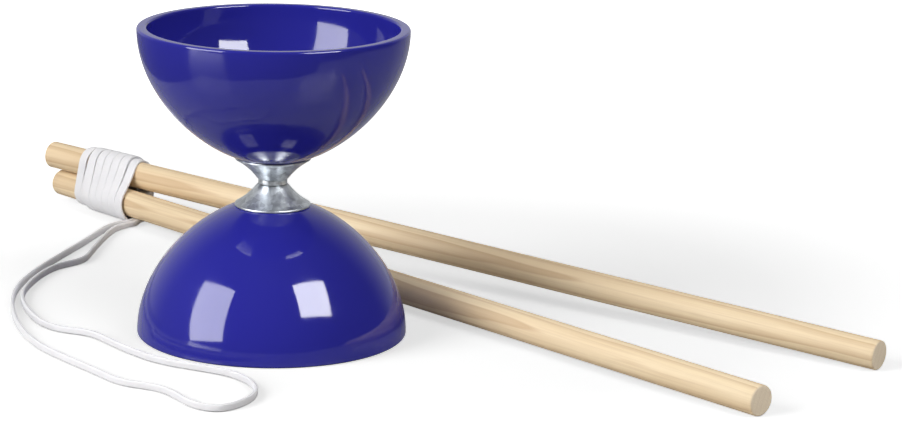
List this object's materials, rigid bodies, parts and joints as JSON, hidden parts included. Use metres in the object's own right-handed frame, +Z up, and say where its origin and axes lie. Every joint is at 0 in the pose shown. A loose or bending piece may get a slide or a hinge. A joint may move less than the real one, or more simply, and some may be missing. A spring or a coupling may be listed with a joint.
{
  "type": "diabolo",
  "caption": "Two-cup diabolo spool with a metal hub on a fixed axle, standing beside wooden hand sticks that are bound together with their white string.",
  "frame": {"origin": "on the ground, under the middle of the box round the spool and the two sticks", "axes": "+Z up along the spool's axle, +Y away from a person facing the set, +X to their right, towards the sticks' free ends"},
  "size_m": [0.2873, 0.2832, 0.1025],
  "materials": {
    "cup_plastic": "polished, royal blue",
    "hub_metal": "satin, turned zinc-coated metal",
    "fastener_steel": "zinc plated",
    "nylon": "matt",
    "pine": "sanded, unvarnished",
    "white_braid": "soft cotton braid"
  },
  "bodies": {
    "front_stick_and_string": {"front_stick": "pine", "string_winding": "white_braid", "string_loop": "white_braid"},
    "rear_hand_stick": {"rear_stick": "pine"},
    "spool": {"upper_cup": "cup_plastic", "lower_cup": "cup_plastic", "upper_hub_cone": "hub_metal", "lower_hub_cone": "hub_metal", "track_ring": "hub_metal", "axle_rod": "fastener_steel", "upper_washer": "fastener_steel", "lower_washer": "fastener_steel", "upper_lock_nut": "fastener_steel", "lower_lock_nut": "fastener_steel", "upper_nut_insert": "nylon", "lower_nut_insert": "nylon"}
  },
  "joints": [
    {"name": "spool_spin", "type": "hinge", "parent": "front_stick_and_string", "child": "spool", "pos_m": [-0.05573, -0.04525, 0.05125], "axis": [0, 0, 1], "continuous": true},
    {"name": "stick_splay", "type": "hinge", "parent": "front_stick_and_string", "child": "rear_hand_stick", "pos_m": [-0.11602, 0.11898, 0.01709], "axis": [0.1228, 0.0936, 0.988], "range_deg": [-11, 0], "deforming": ["string_winding"]}
  ]
}
